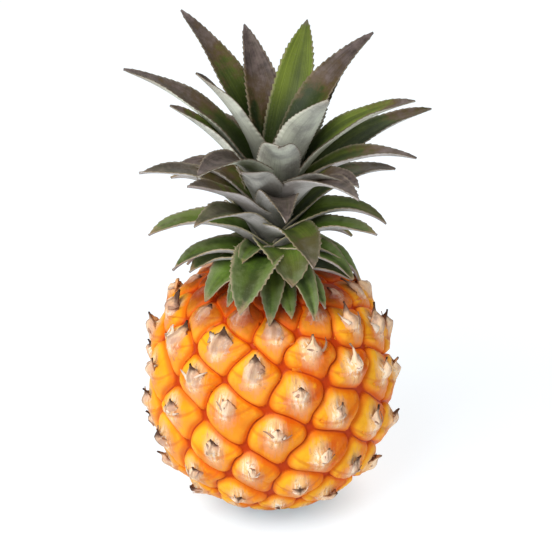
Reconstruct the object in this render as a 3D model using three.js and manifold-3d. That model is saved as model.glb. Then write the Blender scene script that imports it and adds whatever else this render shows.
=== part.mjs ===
// A small pineapple standing on its base: one fruit covered in spiral eyes, one leafy
// crown and the cut end of the stalk, sunk into the underside.
// Millimetres, +Z up. The origin is the middle of the flat base, the front faces -Y.
import * as THREE from 'three';
import { mergeVertices } from 'three/addons/utils/BufferGeometryUtils.js';
import Module from 'manifold-3d';

const wasm = await Module();
wasm.setup();

// Fruit: a squarish ellipsoid of revolution, cut flat below and above.
const FRUIT_RADIUS = 47.3;
const WIDEST_Z = 43;
const ABOVE = { half: 51, squareness: 2.55 };
const BELOW = { half: 47, squareness: 2.1 };
const FRUIT_TOP_Z = 93.7;

// Eyes: eye n sits one divergence angle further round and a little lower than eye n - 1,
// so that every eighth and every thirteenth eye touch.
const DIVERGENCE = 137.625;
const FIRST_EYE_TURN = 12.8;
const FIRST_EYE_Z = WIDEST_Z + 17.9;
const EYE_DROP = 1.267;
const CROWDING = 1.8;
const STEP_A = 8;
const STEP_B = 13;
const TOP_EYE = -34;
const LOW_EYE = 74;
const UNEVENNESS = 0.045;
const EYE_KNOTS = [-0.5, -0.38, -0.14, 0.14, 0.38];
const MIDDLE_KNOT = 2;
const EYE_HEIGHT = 3;

// Bract tips: the dry hooked point in the middle of each eye. They grow in over this
// range of radius above and this range of height below.
const TIP_RADIUS = [33, 38];
const TIP_Z = [6, 12];
const TIP_OUT = 3.3;
const TIP_UP = 4.6;

// Stalk: it sits in a round recess under the fruit, cut off level with the base.
const STALK_RADIUS = 7.4;
const STALK_HEIGHT = 4.6;
const RECESS_RADIUS = 7.8;
const RECESS_DEPTH = 5;

// Crown: leaves on a golden-angle spiral up a short stem that leans to the right, with a few
// small ones that cover the stem above the basal leaves.
const CROWN_Z = 94;
const CROWN_LEAN = 6.8;
const STEM_LENGTH = 43;
const LEAF_COUNT = 58;
const COVER_LEAVES = 5;
const LEAF_TURN = -137.5;
const FIRST_LEAF_TURN = 21;
const BASAL_LEAVES = 16;
const ROOT_OUT = 3.1;
const TOOTH_SPACING = 9;
const SLIVER = 0.02;
const FRUIT_CLEARANCE = 0.9;

// How the leaves change up the stem: [root height, value] pairs, joined by straight lines.
const ROOT_LEAN = [[1, 77], [5, 62], [8, 44], [12, 30], [18, 24], [28, 21], [36, 14], [40, 9]];
const TIP_LEAN = [[1, 150], [5, 148], [8, 130], [12, 120], [18, 108], [24, 92], [32, 66], [40, 36]];
const LENGTH = [[1, 29], [5, 36], [8, 44], [12, 49], [18, 58], [28, 66], [36, 66], [40, 62]];
const HALF_WIDTH = [[1, 5.6], [4, 6.4], [7, 7.3], [14, 7.6], [24, 8.4], [40, 8.4]];

// Leaves that part from the rule: [turn, root lean, tip lean, length, sideways drift, half width].
const PARTING_LEAVES = {
  0: [-2, 75, 153, 31, -4],
  1: [38, 50, 136, 31, 10, 9],
  2: [-36, 62, 111, 32, -2, 9.4],
  3: [9, 46, 151, 37, -7],
  5: [-12, 66, 135, 33, -1],
  6: [12, 45, 143, 39, -9, 7.4],
  8: [1, 69, 151, 36, 0],
  10: [-5, 35, 156, 40, -5],
  11: [-2, 75, 155, 31, 2, 8.9],
  13: [-2, 62, 155, 38, -2],
  14: [-5, 67, 153, 34, 4],
  16: [4, 55, 144, 45, 1, 9.4],
  18: [5, 32, 104, 44, 2],
  19: [-3, 39, 123, 50, -1],
  21: [4, 53, 149, 29, 1, 10.5],
  23: [-2, 27, 129, 48, -2],
  24: [-5, 28, 108, 48, 1, 7.6],
  26: [-25, 42, 119, 47, -5, 8.6],
  27: [1, 28, 107, 57, 0],
  28: [-10, 37, 103, 57, -4],
  29: [5, 19, 105, 60, 8],
  31: [1, 9, 98, 67, 0],
  32: [7, 41, 77, 48, 2],
  34: [5, 21, 97, 64, 1],
  35: [1, 29, 122, 46, -1],
  36: [2, 32, 83, 74, 2],
  37: [5, 31, 73, 58, 5],
  39: [-14, 19, 95, 52, -6],
  40: [1, 25, 62, 59, 0],
  41: [12, 22, 101, 62, 9],
  42: [-8, 20, 72, 65, -2],
  43: [-4, 27, 92, 48, -4],
  44: [0, 16, 75, 67, 0],
  45: [9, 25, 102, 64, 7],
  46: [0, 20, 76, 60, 0],
  47: [-11, 10, 53, 64, -7],
  48: [1, 29, 79, 74, 0],
  49: [4, 12, 47, 51, 3],
  50: [0, 6, 20, 14, 0],
  51: [-4, 16, 54, 64, 0],
  52: [0, 8, 24, 18, 0],
  53: [2, 19, 51, 60, -1],
  54: [11, 14, 60, 66, 4],
  55: [0, 5, 15, 14, 0],
  56: [-10, 27, 60, 73, -1],
  57: [22, 10, 59, 66, -1],
  58: [6, 28, 130, 27, 2, 6],
  60: [15, 55, 135, 35, -2, 9],
  61: [-35],
  62: [-30],
};

const MATERIALS = {
  fruit: new THREE.MeshStandardMaterial({ color: 0xf29a1f, roughness: 0.45, metalness: 0 }),
  crown: new THREE.MeshStandardMaterial({ color: 0x5f7d3c, roughness: 0.6, metalness: 0 }),
  stalk: new THREE.MeshStandardMaterial({ color: 0xa98a5c, roughness: 0.85, metalness: 0 }),
};

const radians = THREE.MathUtils.degToRad;

// ---- solids ----

function solidOf(geometry) {
  geometry.deleteAttribute('normal');
  geometry.deleteAttribute('uv');
  const merged = mergeVertices(geometry, 1e-4);
  return new wasm.Manifold(new wasm.Mesh({
    numProp: 3,
    vertProperties: new Float32Array(merged.attributes.position.array),
    triVerts: new Uint32Array(merged.index.array),
  }));
}

function meshOf(solid, name, material) {
  const { vertProperties, triVerts } = solid.getMesh();
  const geometry = new THREE.BufferGeometry();
  geometry.setAttribute('position', new THREE.BufferAttribute(vertProperties, 3));
  geometry.setIndex(new THREE.BufferAttribute(triVerts, 1));
  const mesh = new THREE.Mesh(geometry, material);
  mesh.name = name;
  return mesh;
}

function geometryOf(points, faces) {
  const geometry = new THREE.BufferGeometry();
  const flat = points.flatMap((p) => [p.x, p.y, p.z]);
  geometry.setAttribute('position', new THREE.Float32BufferAttribute(flat, 3));
  geometry.setIndex(faces.flat());
  return geometry;
}

function between(pairs, x) {
  const last = pairs.length - 1;
  const k = Math.max(1, pairs.findIndex((pair) => pair[0] >= x));
  const [x0, y0] = pairs[x > pairs[last][0] ? last - 1 : k - 1];
  const [x1, y1] = pairs[x > pairs[last][0] ? last : k];
  const share = THREE.MathUtils.clamp((x - x0) / (x1 - x0), 0, 1);
  return y0 + (y1 - y0) * share;
}

// A number from 0 to 1 that depends only on its two seeds.
function draw(seed, kind) {
  const value = Math.sin(seed * 12.9898 + kind * 78.233) * 43758.5453;
  return value - Math.floor(value);
}

// ---- fruit ----

function fruitRadius(z) {
  const { half, squareness } = z > WIDEST_Z ? ABOVE : BELOW;
  const share = Math.min(1, Math.abs(z - WIDEST_Z) / half);
  return FRUIT_RADIUS * (1 - share ** squareness) ** (1 / squareness);
}

// Height of eye n: the eyes crowd together as the fruit narrows.
function eyeHeight(n) {
  const steps = Math.ceil(Math.abs(n) * 4);
  let z = FIRST_EYE_Z;
  for (let k = 0; k < steps; k += 1) {
    const share = Math.max(fruitRadius(z), 1) / FRUIT_RADIUS;
    z -= EYE_DROP * share ** CROWDING * (n / steps);
  }
  return z;
}

// Number and turn of lattice place (i, j).
function spiralPlace(i, j) {
  const turnA = STEP_A * DIVERGENCE - 3 * 360;
  const turnB = STEP_B * DIVERGENCE - 5 * 360;
  const turn = radians(FIRST_EYE_TURN + turnA * i + turnB * j);
  return { n: STEP_A * i + STEP_B * j, turn };
}

// A lattice place moved a little by slow waves round the fruit, as growing eyes push.
function grownUnevenly(i, j) {
  const { n, turn } = spiralPlace(i, j);
  const wave = (turns, steps, start) => Math.sin(turns * turn + steps * n + start);
  const shiftI = wave(5, 0.21, 0) + wave(-7, 0.13, 2) + wave(9, -0.37, 4);
  const shiftJ = wave(4, -0.29, 1) + wave(8, 0.17, 3) + wave(-11, 0.33, 0);
  return spiralPlace(i + UNEVENNESS * shiftI, j + UNEVENNESS * shiftJ);
}

// The point at lattice place (i, j), with the directions out, up and sideways there.
function surfaceAt(i, j) {
  const { n, turn } = grownUnevenly(i, j);
  const z = eyeHeight(n);
  const radius = fruitRadius(z);
  const outwards = new THREE.Vector3(Math.sin(turn), -Math.cos(turn), 0);
  const { half, squareness } = z > WIDEST_Z ? ABOVE : BELOW;
  const level = (z - WIDEST_Z) / half;
  const rise = Math.sign(level) * Math.abs(level) ** (squareness - 1) / half;
  const spread = (radius / FRUIT_RADIUS) ** (squareness - 1) / FRUIT_RADIUS;
  const out = outwards.clone().multiplyScalar(spread).setZ(rise).normalize();
  const side = new THREE.Vector3(Math.cos(turn), Math.sin(turn), 0);
  const up = new THREE.Vector3().crossVectors(out, side);
  const point = outwards.multiplyScalar(radius).setZ(z);
  return { point, out, up, side, radius, size: (radius / FRUIT_RADIUS) ** 0.9 };
}

// Share of the full height of an eye at (u, v) in its cell, 0 along the grooves.
function eyeDome(u, v) {
  const reach = Math.min(1, (Math.abs(2 * u) ** 5 + Math.abs(2 * v) ** 5) ** 0.2);
  return (1 - reach ** 5) ** 0.62;
}

function skinPoint(bigI, bigJ) {
  const count = EYE_KNOTS.length;
  const i = Math.floor(bigI / count);
  const j = Math.floor(bigJ / count);
  const u = EYE_KNOTS[bigI - i * count];
  const v = EYE_KNOTS[bigJ - j * count];
  const { point, out, size } = surfaceAt(i + u, j + v);
  const depth = EYE_HEIGHT * size * (1 - eyeDome(u, v));
  return point.addScaledVector(out, -depth);
}

// The skin is a net of cells, STEP_A rows of them wound round the fruit, that closes on
// itself STEP_B cells further along; its two open ends are drawn to points on the axis.
function fruitSkin() {
  const count = EYE_KNOTS.length;
  const rows = STEP_A * count;
  const shift = STEP_B * count;
  const points = [];
  const numbers = new Map();
  const numberOf = (bigI, bigJ) => {
    const turns = Math.floor(bigJ / rows);
    const key = `${bigI + turns * shift},${bigJ - turns * rows}`;
    if (!numbers.has(key)) {
      numbers.set(key, points.length);
      points.push(skinPoint(bigI + turns * shift, bigJ - turns * rows));
    }
    return numbers.get(key);
  };
  const faces = [];
  for (let bigJ = 0; bigJ < rows; bigJ += 1) {
    const first = Math.ceil((TOP_EYE * count - STEP_B * bigJ) / STEP_A);
    const last = Math.floor((LOW_EYE * count - STEP_B * bigJ) / STEP_A);
    for (let bigI = first; bigI < last; bigI += 1) {
      const a = numberOf(bigI, bigJ);
      const b = numberOf(bigI, bigJ + 1);
      const c = numberOf(bigI + 1, bigJ + 1);
      const d = numberOf(bigI + 1, bigJ);
      const i = Math.floor(bigI / count);
      const j = Math.floor(bigJ / count);
      if (bigI - i * count === MIDDLE_KNOT && bigJ - j * count === MIDDLE_KNOT) {
        const tip = points.push(bractTip(i, j)) - 1;
        faces.push([a, b, tip], [b, c, tip], [c, d, tip], [d, a, tip]);
      } else {
        faces.push([a, b, c], [a, c, d]);
      }
    }
  }
  return geometryOf(points, faces.concat(endFaces(points, faces)));
}

function endFaces(points, faces) {
  const edges = new Set(faces.flatMap(([a, b, c]) => [`${a},${b}`, `${b},${c}`, `${c},${a}`]));
  const top = points.push(new THREE.Vector3(0, 0, FRUIT_TOP_Z + 1.5)) - 1;
  const low = points.push(new THREE.Vector3(0, 0, WIDEST_Z - BELOW.half)) - 1;
  const ends = [];
  for (const edge of edges) {
    const [a, b] = edge.split(',').map(Number);
    if (!edges.has(`${b},${a}`)) {
      ends.push([b, a, points[a].z > WIDEST_Z ? top : low]);
    }
  }
  return ends;
}

// The dry point that the middle of an eye is drawn up and out to.
function bractTip(i, j) {
  const { point, out, up, radius, size } = surfaceAt(i, j);
  const { smoothstep } = THREE.MathUtils;
  const clearAbove = point.z > WIDEST_Z ? smoothstep(radius, ...TIP_RADIUS) : 1;
  const grown = clearAbove * smoothstep(point.z, ...TIP_Z) * size;
  const seed = STEP_A * i + STEP_B * j;
  point.addScaledVector(out, TIP_OUT * grown * (0.8 + 0.4 * draw(seed, 1)));
  return point.addScaledVector(up, TIP_UP * grown * (0.8 + 0.4 * draw(seed, 2)));
}

function slabBetween(lowZ, topZ) {
  const box = new THREE.BoxGeometry(200, 200, topZ - lowZ);
  return solidOf(box.translate(0, 0, (lowZ + topZ) / 2));
}

function disc(radius, lowZ, topZ, sides) {
  const cylinder = new THREE.CylinderGeometry(radius, radius, topZ - lowZ, sides);
  return solidOf(cylinder.rotateX(Math.PI / 2).translate(0, 0, (lowZ + topZ) / 2));
}

function fruit() {
  const solid = solidOf(fruitSkin()).intersect(slabBetween(0, FRUIT_TOP_Z));
  return solid.subtract(disc(RECESS_RADIUS, -1, RECESS_DEPTH, 20));
}

// ---- crown ----

function leafRootHeight(n) {
  if (n >= LEAF_COUNT) {
    return 6.5 + 0.8 * (n - LEAF_COUNT);
  }
  if (n < BASAL_LEAVES) {
    return 1.5 + 4.5 * (n / BASAL_LEAVES);
  }
  return 6 + 34 * ((n - BASAL_LEAVES + 0.5) / 44) ** 0.95;
}

function leafRule(n) {
  const height = leafRootHeight(n);
  const short = n < BASAL_LEAVES || n >= LEAF_COUNT;
  const share = n >= LEAF_COUNT ? 0.68 : 1;
  const [turn, rootLean, tipLean, length, drift, halfWidth] = PARTING_LEAVES[n] ?? [0];
  return {
    turn: FIRST_LEAF_TURN + LEAF_TURN * n + turn,
    height,
    rootLean: rootLean ?? between(ROOT_LEAN, height) + 6 * (draw(n, 1) - 0.5),
    tipLean: tipLean ?? between(TIP_LEAN, height) + 10 * (draw(n, 2) - 0.5),
    length: length ?? between(LENGTH, height) * (0.95 + 0.1 * draw(n, 3)) * share,
    drift: drift ?? 12 * (draw(n, 4) - 0.5),
    halfWidth: halfWidth ?? between(HALF_WIDTH, height),
    neck: short ? 0.05 : 0.45,
    taper: short ? 2.3 : 3.2,
  };
}

// Directions at a place on the crown: turn in degrees, lean in degrees from the stem.
function crownFrame(turn, lean) {
  const stem = new THREE.Vector3(Math.sin(radians(CROWN_LEAN)), 0, Math.cos(radians(CROWN_LEAN)));
  const right = new THREE.Vector3(stem.z, 0, -stem.x);
  const front = new THREE.Vector3(0, -1, 0);
  const outwards = right.clone().multiplyScalar(Math.sin(radians(turn)));
  outwards.addScaledVector(front, Math.cos(radians(turn)));
  const side = right.clone().multiplyScalar(Math.cos(radians(turn)));
  side.addScaledVector(front, -Math.sin(radians(turn)));
  const along = outwards.clone().multiplyScalar(Math.sin(radians(lean)));
  along.addScaledVector(stem, Math.cos(radians(lean)));
  const face = outwards.clone().multiplyScalar(-Math.cos(radians(lean)));
  face.addScaledVector(stem, Math.sin(radians(lean)));
  return { stem, outwards, side, along, face };
}

// Moves a point out until it is at least the given distance above the fruit.
function liftOffFruit(point, distance) {
  const { half, squareness } = point.z > WIDEST_Z ? ABOVE : BELOW;
  const across = Math.hypot(point.x, point.y) / (FRUIT_RADIUS + distance);
  const up = Math.abs(point.z - WIDEST_Z) / (half + distance);
  const level = (across ** squareness + up ** squareness) ** (1 / squareness);
  if (level < 1) {
    point.set(point.x / level, point.y / level, WIDEST_Z + (point.z - WIDEST_Z) / level);
  }
  return point;
}

// The middle line of a leaf, as a frame at each of its stations.
function leafStations(rule, count) {
  const start = crownFrame(rule.turn, 0);
  const at = new THREE.Vector3(0, 0, CROWN_Z).addScaledVector(start.stem, rule.height);
  at.addScaledVector(start.outwards, ROOT_OUT);
  const frameAt = (s) => {
    const lean = rule.rootLean + (rule.tipLean - rule.rootLean) * s;
    return crownFrame(rule.turn + rule.drift * s, lean);
  };
  const stations = [];
  for (let k = 0; k <= count; k += 1) {
    stations.push({ ...frameAt(k / count), at: at.clone(), s: k / count });
    at.addScaledVector(frameAt((k + 0.5) / count).along, rule.length / count);
  }
  return stations;
}

// Four corners of the leaf at one station: left edge, top, right edge, underside.
function leafSection(station, rule, toothed) {
  const { at, s, side, face, along } = station;
  const neck = 1 - rule.neck * (1 - s) ** 3;
  const taper = 1 - s ** rule.taper;
  const half = rule.halfWidth * neck * taper + (toothed ? 0.9 : 0);
  const fold = half * 0.36;
  const thick = 0.8 + 1.0 * (1 - s);
  const corner = (across, lift, above) => {
    const point = at.clone().addScaledVector(side, across).addScaledVector(face, lift);
    point.addScaledVector(along, toothed && across !== 0 ? 1.2 : 0);
    return liftOffFruit(point, FRUIT_CLEARANCE + above);
  };
  return [corner(-half, fold, 0.6), corner(0, 0, thick), corner(half, fold, 0.6), corner(0, -thick, 0)];
}

function leaf(n) {
  const rule = leafRule(n);
  const count = 2 * Math.max(4, Math.round(rule.length / TOOTH_SPACING));
  const stations = leafStations(rule, count);
  const points = [];
  for (let k = 0; k < count; k += 1) {
    points.push(...leafSection(stations[k], rule, k > 1 && k % 2 === 1));
  }
  const tip = points.push(liftOffFruit(stations[count].at, FRUIT_CLEARANCE + 0.4)) - 1;
  const faces = [[0, 1, 2], [0, 2, 3]];
  for (let k = 0; k < 4; k += 1) {
    const next = (k + 1) % 4;
    for (let row = 0; row < count - 1; row += 1) {
      const a = row * 4;
      faces.push([a + k, a + 4 + k, a + 4 + next], [a + k, a + 4 + next, a + next]);
    }
    const a = (count - 1) * 4;
    faces.push([a + k, tip, a + next]);
  }
  return geometryOf(points, faces);
}

// The stem tapers upwards and is sheared, so that its foot lies level on the fruit.
function stem() {
  const profile = [[0, 0], [9.4, 0], [9.6, 12], [9.2, 22], [7.6, 34], [4, STEM_LENGTH], [0, STEM_LENGTH]];
  const outline = profile.map(([radius, height]) => new THREE.Vector2(radius, height));
  const geometry = new THREE.LatheGeometry(outline, 10).rotateX(Math.PI / 2);
  const shear = new THREE.Matrix4().makeShear(0, 0, 0, 0, Math.tan(radians(CROWN_LEAN)), 0);
  return geometry.applyMatrix4(shear).translate(0, 0, CROWN_Z);
}

// The solid without the pockets closed in between leaf bases: of the shells that its
// surface falls into, only the widest is kept.
function withoutPockets(solid) {
  const { vertProperties, triVerts } = solid.getMesh();
  const group = Array.from({ length: vertProperties.length / 3 }, (_, k) => k);
  const groupOf = (k) => {
    while (group[k] !== k) {
      k = group[k] = group[group[k]];
    }
    return k;
  };
  const shells = new Map();
  for (let k = 0; k < triVerts.length; k += 3) {
    group[groupOf(triVerts[k])] = groupOf(triVerts[k + 1]);
    group[groupOf(triVerts[k + 1])] = groupOf(triVerts[k + 2]);
  }
  for (let k = 0; k < triVerts.length; k += 3) {
    const shell = groupOf(triVerts[k]);
    shells.set(shell, [...(shells.get(shell) ?? []), ...triVerts.slice(k, k + 3)]);
  }
  const widest = [...shells.values()].sort((a, b) => b.length - a.length)[0];
  const triangles = new Uint32Array(widest);
  return new wasm.Manifold(new wasm.Mesh({ numProp: 3, vertProperties, triVerts: triangles }));
}

// The stem and its leaves fused, with the shortest edges left by the fusing closed up.
function crown() {
  let solid = solidOf(stem());
  for (let n = 0; n < LEAF_COUNT + COVER_LEAVES; n += 1) {
    solid = solid.add(solidOf(leaf(n)));
  }
  return withoutPockets(solid.simplify(SLIVER));
}

// ---- the object ----

const pineapple = new THREE.Group();
pineapple.name = 'pineapple';
pineapple.add(meshOf(fruit(), 'fruit', MATERIALS.fruit));
pineapple.add(meshOf(crown(), 'crown', MATERIALS.crown));
pineapple.add(meshOf(disc(STALK_RADIUS, 0, STALK_HEIGHT, 18), 'stalk', MATERIALS.stalk));

export default pineapple;
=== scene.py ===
# %% [markdown]
# # A small pineapple
# The part is one whole pineapple on a pale floor: a squat fruit covered in spiral eyes, a dry
# pointed bract in the middle of each eye, and a crown of toothed, arching leaves.
# The solids of the part are loaded first, as a fixed frame. Each piece made here stands where its
# solid stands, and shows what the solid is too coarse to show.

# %% Load the frame
import math

import bmesh
import bpy
import numpy as np
from mathutils import Matrix, Vector, noise


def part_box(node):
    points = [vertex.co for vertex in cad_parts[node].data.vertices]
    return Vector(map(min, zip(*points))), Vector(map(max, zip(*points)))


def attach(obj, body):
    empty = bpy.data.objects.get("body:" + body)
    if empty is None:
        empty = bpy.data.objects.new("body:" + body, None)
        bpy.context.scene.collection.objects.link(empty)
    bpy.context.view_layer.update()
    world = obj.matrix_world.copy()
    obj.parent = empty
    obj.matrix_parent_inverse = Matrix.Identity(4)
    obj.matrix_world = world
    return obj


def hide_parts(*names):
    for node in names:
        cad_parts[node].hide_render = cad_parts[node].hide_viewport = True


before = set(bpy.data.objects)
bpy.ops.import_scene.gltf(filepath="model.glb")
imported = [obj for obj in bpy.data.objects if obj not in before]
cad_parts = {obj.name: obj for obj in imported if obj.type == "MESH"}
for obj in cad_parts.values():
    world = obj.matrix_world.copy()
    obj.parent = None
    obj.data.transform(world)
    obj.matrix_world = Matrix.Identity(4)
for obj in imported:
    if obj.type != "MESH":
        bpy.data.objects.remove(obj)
scene = bpy.context.scene
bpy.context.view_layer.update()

# %% [markdown]
# ## Shader maths as plain sums
# A finish is a network of nodes. Wiring dozens of them by hand hides what they work out, so a
# small class lets the output of a node be added, multiplied and compared like a number.

# %% The class for finishes
class Value:
    """One output of a shader node. Sums of these add Math nodes to the same finish."""

    def __init__(self, tree, socket=None):
        self.tree = tree
        self.socket = socket

    def node(self, kind, settings=(), inputs=(), output=0):
        """Adds a node of any kind: its settings first, then its sockets' values or links."""
        made = self.tree.nodes.new(kind)
        for key, value in dict(settings).items():
            setattr(made, key, value)
        for key, value in dict(inputs).items():
            if isinstance(value, Value):
                self.tree.links.new(value.socket, made.inputs[key])
            else:
                made.inputs[key].default_value = value
        return Value(self.tree, made.outputs[output])

    def math(self, operation, *values):
        return self.node("ShaderNodeMath", {"operation": operation}, enumerate(values))

    def __add__(self, other):
        return self.math("ADD", self, other)

    __radd__ = __add__

    def __sub__(self, other):
        return self.math("SUBTRACT", self, other)

    def __rsub__(self, other):
        return self.math("SUBTRACT", other, self)

    def __mul__(self, other):
        return self.math("MULTIPLY", self, other)

    __rmul__ = __mul__

    def __pow__(self, other):
        return self.math("POWER", self, other)

    def __abs__(self):
        return self.math("ABSOLUTE", self)

    def between(self, low, high):
        """0 below low, 1 above high and a smooth step from one to the other."""
        settings = {"interpolation_type": "SMOOTHSTEP", "clamp": True}
        return self.node("ShaderNodeMapRange", settings, {0: self, 1: low, 2: high})

    def part(self, name):
        return self.node("ShaderNodeSeparateXYZ", {}, {0: self}, name)

    def times(self, x, y, z):
        """A vector stretched along each axis."""
        return self.node("ShaderNodeVectorMath", {"operation": "MULTIPLY"}, {0: self, 1: (x, y, z)})

    def shifted(self, other):
        """A vector moved by another, so that a pattern starts elsewhere."""
        return self.node("ShaderNodeVectorMath", {"operation": "ADD"}, {0: self, 1: other})

    def noise(self, scale, detail=3.0, rough=0.5):
        inputs = {"Vector": self, "Scale": scale, "Detail": detail, "Roughness": rough}
        return self.node("ShaderNodeTexNoise", {}, inputs, "Fac")

    def to(self, *ends):
        """The colour that is the first end where this value is 0 and the second where it is 1."""
        first, second = (tone(*end) if isinstance(end, tuple) else end for end in ends)
        settings = {"data_type": "RGBA", "clamp_factor": True}
        return self.node("ShaderNodeMix", settings, {0: self, 6: first, 7: second}, 2)

    def bump(self, strength, depth):
        """The surface's direction where this value is its height, for a depth in metres."""
        return self.node("ShaderNodeBump", {}, {"Strength": strength, "Distance": depth, "Height": self})

    def body(self):
        """The place on the part, in metres."""
        return self.node("ShaderNodeTexCoord", {}, {}, "Object")

    def uv_map(self, name):
        """A pair of numbers that the mesh carries for each corner of a face."""
        return self.node("ShaderNodeUVMap", {"uv_map": name})

    def attribute(self, name):
        """A number that the mesh carries for each vertex."""
        return self.node("ShaderNodeAttribute", {"attribute_name": name}, {}, "Fac")


def tone(red, green, blue):
    """A colour from its three screen values, 0 to 255, as the shaders want it."""
    shares = [c / 255 for c in (red, green, blue)]
    linear = [s / 12.92 if s <= 0.04045 else ((s + 0.055) / 1.055) ** 2.4 for s in shares]
    return (*linear, 1.0)


def new_finish(name):
    """A fresh material, with its shader and a start for its sums."""
    material = bpy.data.materials.new(name)
    material.use_nodes = True
    shader = material.node_tree.nodes["Principled BSDF"]
    return material, shader, Value(material.node_tree)


def wire(shader, **inputs):
    """Links values to sockets; an underscore in a name stands for a space."""
    for key, value in inputs.items():
        socket = shader.inputs[key.replace("_", " ")]
        if isinstance(value, Value):
            value.tree.links.new(value.socket, socket)
        else:
            socket.default_value = value


def cover(piece, *materials):
    """Gives a new piece its materials."""
    for material in materials:
        piece.data.materials.append(material)


print("shader helpers ready")

# %% [markdown]
# ## The shape of the fruit
# A pineapple's eyes sit on two families of spirals, 8 one way and 13 the other. Eye number n is
# one divergence angle round from eye n - 1 and a little lower, so the place of every eye follows
# from its number. A place between eyes is a fractional pair (i, j), where a step in i passes 8
# numbers and a step in j passes 13. Sizes here are in millimetres, as in the part's source.

# %% Sizes of the fruit
MM = 0.001
FRUIT_RADIUS = 47.3
WIDEST_Z = 43.0
ABOVE = (51.0, 2.55)
BELOW = (47.0, 2.1)
FRUIT_TOP_Z = 93.7
DIVERGENCE = 137.625
FIRST_EYE_TURN = 12.8
FIRST_EYE_Z = WIDEST_Z + 17.9
EYE_DROP = 1.267
CROWDING = 1.8
STEP_A = 8
STEP_B = 13
TOP_EYE = -42
LOW_EYE = 86
SPARE_EYES = 11  # made past each end and cut off again
EYE_HEIGHT = 3.0
RECESS_RADIUS = 7.8
RECESS_DEPTH = 5.0


def number_of(i, j):
    """The number of the eye at a lattice place."""
    return STEP_A * i + STEP_B * j


def draw(seed, kind):
    """A number from 0 to 1 that depends only on its two seeds."""
    value = np.sin(seed * 12.9898 + kind * 78.233) * 43758.5453
    return value - np.floor(value)


def smooth(x, low, high):
    t = np.clip((x - low) / (high - low), 0, 1)
    return t * t * (3 - 2 * t)


def half_and_power(z):
    above = z > WIDEST_Z
    return np.where(above, ABOVE[0], BELOW[0]), np.where(above, ABOVE[1], BELOW[1])


def fruit_radius(z):
    half, power = half_and_power(z)
    share = np.minimum(1, np.abs(z - WIDEST_Z) / half)
    return FRUIT_RADIUS * (1 - share ** power) ** (1 / power)


TABLE_ENDS = (-80, 120)
TABLE_STEP = 0.25


def heights_to(last):
    """Heights of the eyes from number 0 to last, by small steps along the fruit."""
    z, heights = FIRST_EYE_Z, [FIRST_EYE_Z]
    for _ in range(int(abs(last) / TABLE_STEP)):
        share = max(float(fruit_radius(z)), 1.0) / FRUIT_RADIUS
        z -= EYE_DROP * share ** CROWDING * math.copysign(TABLE_STEP, last)
        heights.append(z)
    return heights


UP_HEIGHTS, DOWN_HEIGHTS = map(heights_to, TABLE_ENDS)
EYE_NUMBERS = np.arange(TABLE_ENDS[0], TABLE_ENDS[1] + 0.01, TABLE_STEP)
EYE_HEIGHTS = np.array(UP_HEIGHTS[::-1] + DOWN_HEIGHTS[1:])
print("height of eye 0:", FIRST_EYE_Z, "of eye 60:", np.interp(60, EYE_NUMBERS, EYE_HEIGHTS).round(2))

# %% Places on the fruit
UNEVENNESS = 0.045
TURN_A = STEP_A * DIVERGENCE - 3 * 360
TURN_B = STEP_B * DIVERGENCE - 5 * 360


def grown_unevenly(i, j):
    """Lattice places moved a little by slow waves round the fruit, as growing eyes push."""
    n = number_of(i, j)
    turn = np.radians(FIRST_EYE_TURN + TURN_A * i + TURN_B * j)
    waves_i = (5 * turn + 0.21 * n, -7 * turn + 0.13 * n + 2, 9 * turn - 0.37 * n + 4)
    waves_j = (4 * turn - 0.29 * n + 1, 8 * turn + 0.17 * n + 3, -11 * turn + 0.33 * n)
    shift_i, shift_j = sum(map(np.sin, waves_i)), sum(map(np.sin, waves_j))
    return i + UNEVENNESS * shift_i, j + UNEVENNESS * shift_j


def surface(i, j):
    """Points on the smooth fruit, the directions out, up and sideways, and the eyes' size."""
    i, j = grown_unevenly(i, j)
    n = number_of(i, j)
    turn = np.radians(FIRST_EYE_TURN + TURN_A * i + TURN_B * j)
    z = np.interp(n, EYE_NUMBERS, EYE_HEIGHTS)
    radius = fruit_radius(z)
    level = np.stack([np.sin(turn), -np.cos(turn), np.zeros_like(turn)], -1)
    half, power = half_and_power(z)
    share = (z - WIDEST_Z) / half
    rise = np.sign(share) * np.abs(share) ** (power - 1) / half
    spread = (radius / FRUIT_RADIUS) ** (power - 1) / FRUIT_RADIUS
    out = level * spread[..., None]
    out[..., 2] = rise
    out /= np.linalg.norm(out, axis=-1, keepdims=True)
    side = np.stack([np.cos(turn), np.sin(turn), np.zeros_like(turn)], -1)
    up = np.cross(out, side)
    point = level * radius[..., None]
    point[..., 2] = z
    return point, out, up, side, (radius / FRUIT_RADIUS) ** 0.9


def middle_of(i, j):
    """The surface at the middle of an eye."""
    return surface(np.array(float(i)), np.array(float(j)))


def lattice_of(i, j):
    """The eye's two lattice steps in its own (sideways, up) directions, in millimetres."""
    steps = np.array([[i + 0.5, j], [i - 0.5, j], [i, j + 0.5], [i, j - 0.5]], float)
    points = surface(steps[:, 0], steps[:, 1])[0]
    _, _, up, side, _ = middle_of(i, j)
    across = points[::2] - points[1::2]
    return np.stack([side, up]) @ across.T


EYES = sorted(
    ((i, j) for j in range(STEP_A) for i in range(-30, 30)
     if TOP_EYE - SPARE_EYES < number_of(i, j) < LOW_EYE + SPARE_EYES),
    key=lambda eye: number_of(*eye),
)
print(len(EYES), "eyes; one step is", lattice_of(0, 0).round(1).tolist())

# %% [markdown]
# ## The rind
# Each eye is a plump lozenge, and the lower half of it is the fleshy foot of a bract, whose free
# edge runs across the eye like a smile. The rind could be one dense sphere that is displaced, but
# its grooves would then cut across the mesh and look torn. Here one small grid is an eye: it is
# copied to every place in the spirals, bent to the fruit and raised, so each groove runs along
# an edge of the mesh. Copies share their edges, which are merged at the end.

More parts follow.
